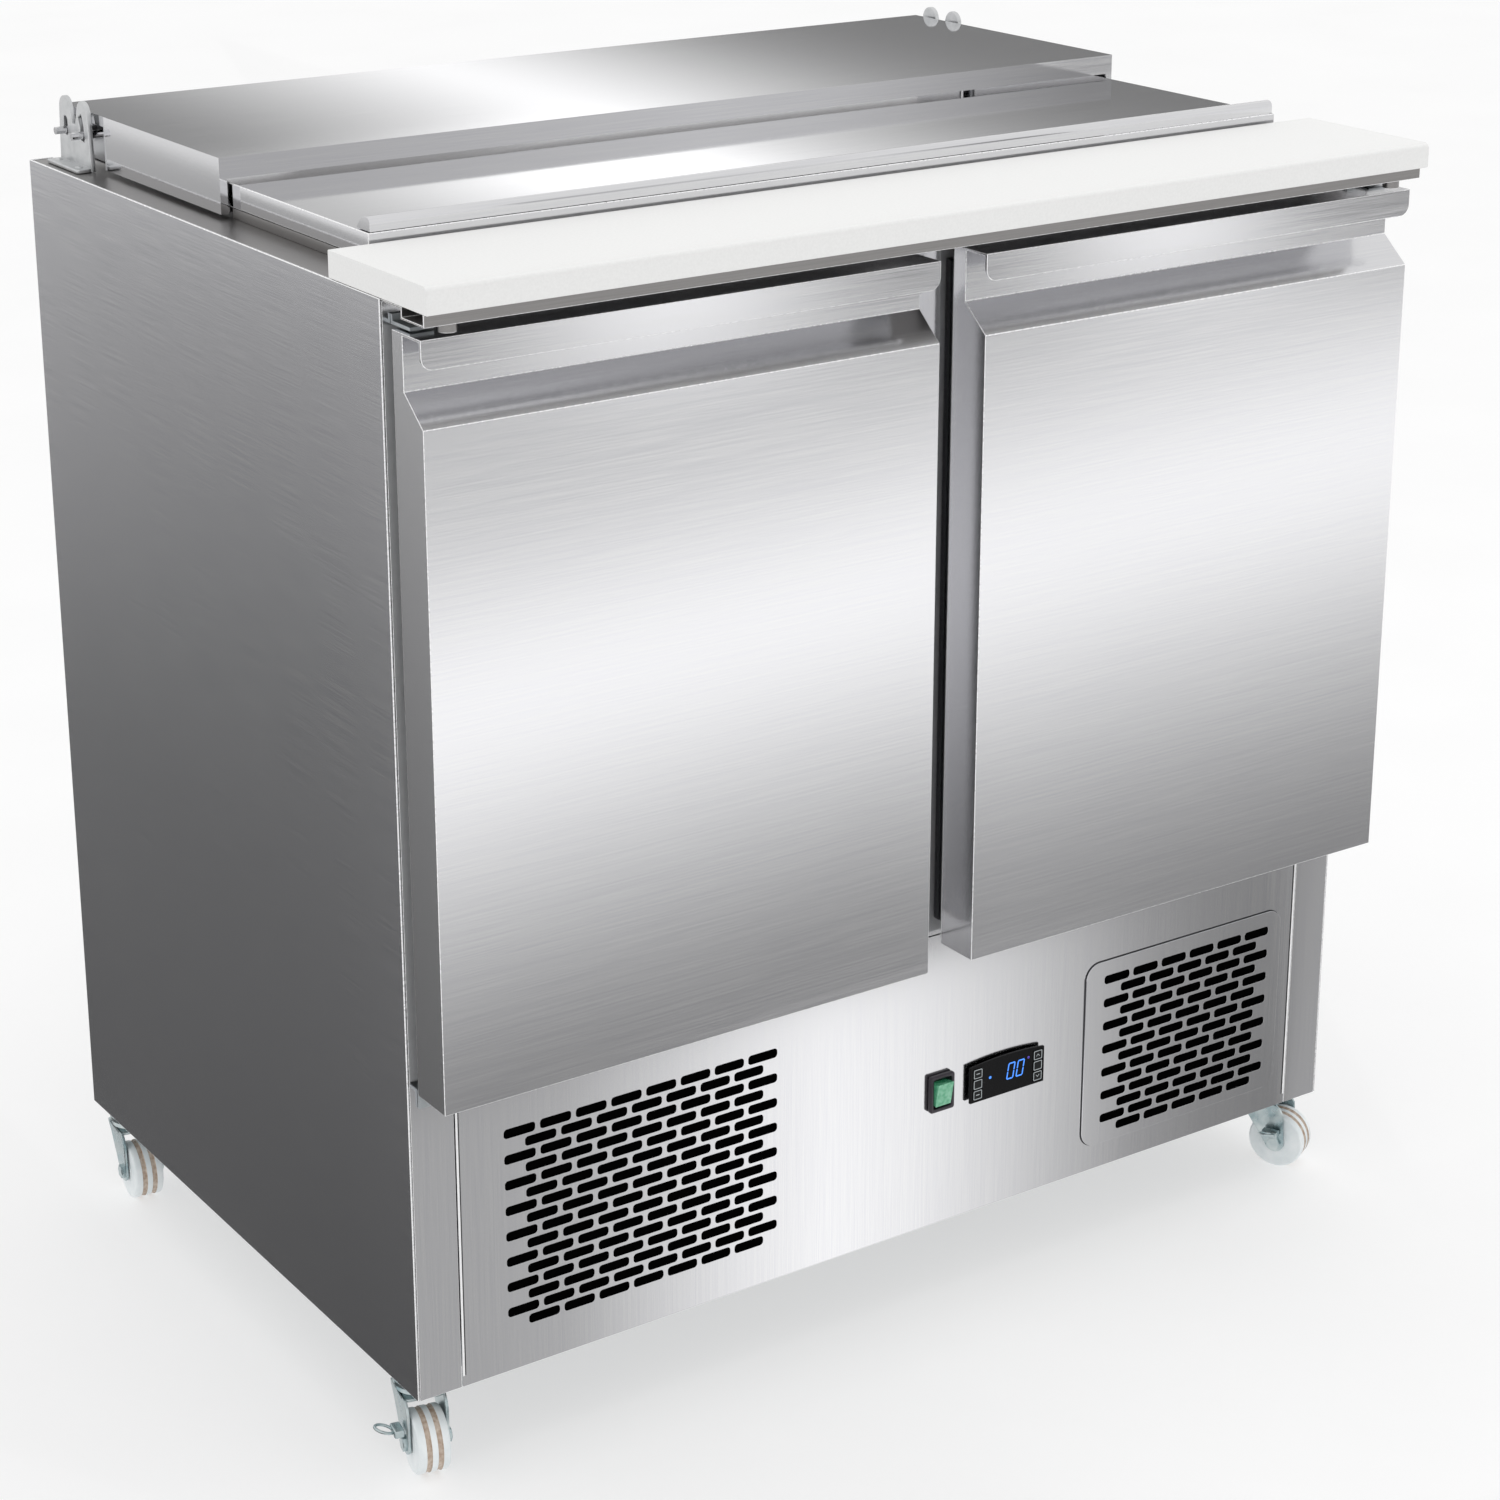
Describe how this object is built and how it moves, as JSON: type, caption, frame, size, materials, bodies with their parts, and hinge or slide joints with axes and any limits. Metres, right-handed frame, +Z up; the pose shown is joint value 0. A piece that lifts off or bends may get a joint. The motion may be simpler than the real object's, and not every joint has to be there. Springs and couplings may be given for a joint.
{
  "type": "sandwich prep table",
  "caption": "Refrigerated sandwich prep counter on castors: food pans under a stepped sliding lid, a white cutting board at the front, overlay doors, and a slotted front over the machinery.",
  "frame": {"origin": "on the floor under the middle of the counter's footprint", "axes": "+X to the right seen from the front, +Y to the back, +Z up"},
  "size_m": [0.931, 0.655, 0.964],
  "materials": {
    "stainless": "satin brushed",
    "dark_steel": "satin, darker",
    "zinc": "zinc plated",
    "white_plastic": "matt white polyethylene",
    "black_plastic": "satin black",
    "rubber": "matt dark grey",
    "foam": "polyurethane foam",
    "fins": "bare aluminium fins",
    "nylon": "white nylon",
    "green_plastic": "translucent green",
    "black_enamel": "black enamel"
  },
  "bodies": {
    "cabinet": {"side_panel_left": "stainless", "side_panel_right": "stainless", "back_panel": "stainless", "base_pan": "dark_steel", "front_frame": "stainless", "inner_liner": "stainless", "insulation": "foam", "top_frame": "stainless", "lower_panel": "stainless", "grille_right": "stainless", "controller": "black_plastic", "switch_bezel": "black_plastic", "hinge_upper_left": "dark_steel", "hinge_upper_right": "dark_steel", "hinge_lower_left": "dark_steel", "hinge_lower_right": "dark_steel", "shelf_left": "zinc", "shelf_right": "zinc", "shelf_rail": "stainless", "food_pan_1": "stainless", "food_pan_2": "stainless", "food_pan_3": "stainless", "food_pan_4": "stainless", "evaporator_cover": "white_plastic", "evaporator_coil": "fins", "condenser": "fins", "compressor": "black_enamel", "power_inlet": "black_plastic", "board_channel": "stainless", "hood_bracket_left": "zinc", "hood_bracket_right": "zinc"},
    "door_left_body": {"door_left": "stainless", "door_liner_left": "white_plastic", "gasket_left": "rubber"},
    "door_right_body": {"door_right": "stainless", "door_liner_right": "white_plastic", "gasket_right": "rubber"},
    "hood_body": {"hood": "stainless"},
    "lid_body": {"front_lid": "stainless", "lid_handle": "stainless"},
    "board_body": {"cutting_board": "white_plastic"},
    "rocker_body": {"rocker": "green_plastic"},
    "evaporator_fan_body": {"evaporator_fan": "black_plastic"},
    "condenser_fan_body": {"condenser_fan": "black_plastic"},
    "key_1_body": {"controller_key_1": "black_plastic"},
    "key_2_body": {"controller_key_2": "black_plastic"},
    "key_3_body": {"controller_key_3": "black_plastic"},
    "key_4_body": {"controller_key_4": "black_plastic"},
    "key_5_body": {"controller_key_5": "black_plastic"},
    "key_6_body": {"controller_key_6": "black_plastic"},
    "fork_front_left_body": {"castor_fork_front_left": "zinc"},
    "wheel_front_left_body": {"castor_wheel_front_left": "nylon"},
    "pedal_front_left_body": {"brake_pedal_front_left": "zinc"},
    "fork_front_right_body": {"castor_fork_front_right": "zinc"},
    "wheel_front_right_body": {"castor_wheel_front_right": "nylon"},
    "pedal_front_right_body": {"brake_pedal_front_right": "zinc"},
    "fork_rear_left_body": {"castor_fork_rear_left": "zinc"},
    "wheel_rear_left_body": {"castor_wheel_rear_left": "nylon"},
    "fork_rear_right_body": {"castor_fork_rear_right": "zinc"},
    "wheel_rear_right_body": {"castor_wheel_rear_right": "nylon"}
  },
  "joints": [
    {"name": "door_left_hinge", "type": "hinge", "parent": "cabinet", "child": "door_left_body", "pos_m": [-0.433, -0.2805, 0.61], "axis": [0, 0, -1], "range_deg": [0, 100]},
    {"name": "door_right_hinge", "type": "hinge", "parent": "cabinet", "child": "door_right_body", "pos_m": [0.433, -0.2805, 0.61], "axis": [0, 0, 1], "range_deg": [0, 100]},
    {"name": "hood_hinge", "type": "hinge", "parent": "cabinet", "child": "hood_body", "pos_m": [0, 0.2945, 0.937], "axis": [-1, 0, 0], "range_deg": [0, 95]},
    {"name": "lid_slide", "type": "slide", "parent": "hood_body", "child": "lid_body", "axis": [0, 1, 0], "range_m": [0, 0.165]},
    {"name": "board_lift", "type": "slide", "parent": "cabinet", "child": "board_body", "axis": [0, 0, 1], "range_m": [0, 0.15]},
    {"name": "key_1_press", "type": "slide", "parent": "cabinet", "child": "key_1_body", "axis": [0, 1, 0], "range_m": [0, 0.0006], "stiffness_N_per_m": 1500, "springref_m": -0.0003},
    {"name": "key_2_press", "type": "slide", "parent": "cabinet", "child": "key_2_body", "axis": [0, 1, 0], "range_m": [0, 0.0006], "stiffness_N_per_m": 1500, "springref_m": -0.0003},
    {"name": "key_3_press", "type": "slide", "parent": "cabinet", "child": "key_3_body", "axis": [0, 1, 0], "range_m": [0, 0.0006], "stiffness_N_per_m": 1500, "springref_m": -0.0003},
    {"name": "key_4_press", "type": "slide", "parent": "cabinet", "child": "key_4_body", "axis": [0, 1, 0], "range_m": [0, 0.0006], "stiffness_N_per_m": 1500, "springref_m": -0.0003},
    {"name": "key_5_press", "type": "slide", "parent": "cabinet", "child": "key_5_body", "axis": [0, 1, 0], "range_m": [0, 0.0006], "stiffness_N_per_m": 1500, "springref_m": -0.0003},
    {"name": "key_6_press", "type": "slide", "parent": "cabinet", "child": "key_6_body", "axis": [0, 1, 0], "range_m": [0, 0.0006], "stiffness_N_per_m": 1500, "springref_m": -0.0003},
    {"name": "rocker_tilt", "type": "hinge", "parent": "cabinet", "child": "rocker_body", "pos_m": [0.031, -0.2645, 0.194], "axis": [-1, 0, 0], "range_deg": [0, 18]},
    {"name": "evaporator_fan_spin", "type": "hinge", "parent": "cabinet", "child": "evaporator_fan_body", "pos_m": [0.14, 0.2045, 0.73], "axis": [0, 1, 0], "continuous": true},
    {"name": "condenser_fan_spin", "type": "hinge", "parent": "cabinet", "child": "condenser_fan_body", "pos_m": [-0.25, -0.1225, 0.2], "axis": [0, 1, 0], "continuous": true},
    {"name": "swivel_front_left", "type": "hinge", "parent": "cabinet", "child": "fork_front_left_body", "pos_m": [-0.428, -0.2205, 0.067], "axis": [0, 0, 1], "continuous": true},
    {"name": "roll_front_left", "type": "hinge", "parent": "fork_front_left_body", "child": "wheel_front_left_body", "pos_m": [-0.43174, -0.23811, 0.025], "axis": [0.9781, -0.2079, 0], "continuous": true},
    {"name": "brake_front_left", "type": "hinge", "parent": "fork_front_left_body", "child": "pedal_front_left_body", "pos_m": [-0.44864, -0.23247, 0.036], "axis": [-0.2079, -0.9781, 0], "range_deg": [0, 14]},
    {"name": "swivel_front_right", "type": "hinge", "parent": "cabinet", "child": "fork_front_right_body", "pos_m": [0.428, -0.2205, 0.067], "axis": [0, 0, 1], "continuous": true},
    {"name": "roll_front_right", "type": "hinge", "parent": "fork_front_right_body", "child": "wheel_front_right_body", "pos_m": [0.43645, -0.23639, 0.025], "axis": [0.8829, 0.4695, 0], "continuous": true},
    {"name": "brake_front_right", "type": "hinge", "parent": "fork_front_right_body", "child": "pedal_front_right_body", "pos_m": [0.41988, -0.24294, 0.036], "axis": [0.4695, -0.8829, 0], "range_deg": [0, 14]},
    {"name": "swivel_rear_left", "type": "hinge", "parent": "cabinet", "child": "fork_rear_left_body", "pos_m": [-0.428, 0.2975, 0.067], "axis": [0, 0, 1], "continuous": true},
    {"name": "roll_rear_left", "type": "hinge", "parent": "fork_rear_left_body", "child": "wheel_rear_left_body", "pos_m": [-0.42988, 0.2796, 0.025], "axis": [0.9945, -0.1045, 0], "continuous": true},
    {"name": "swivel_rear_right", "type": "hinge", "parent": "cabinet", "child": "fork_rear_right_body", "pos_m": [0.428, 0.2975, 0.067], "axis": [0, 0, 1], "continuous": true},
    {"name": "roll_rear_right", "type": "hinge", "parent": "fork_rear_right_body", "child": "wheel_rear_right_body", "pos_m": [0.43113, 0.27977, 0.025], "axis": [0.9848, 0.1736, 0], "continuous": true}
  ]
}
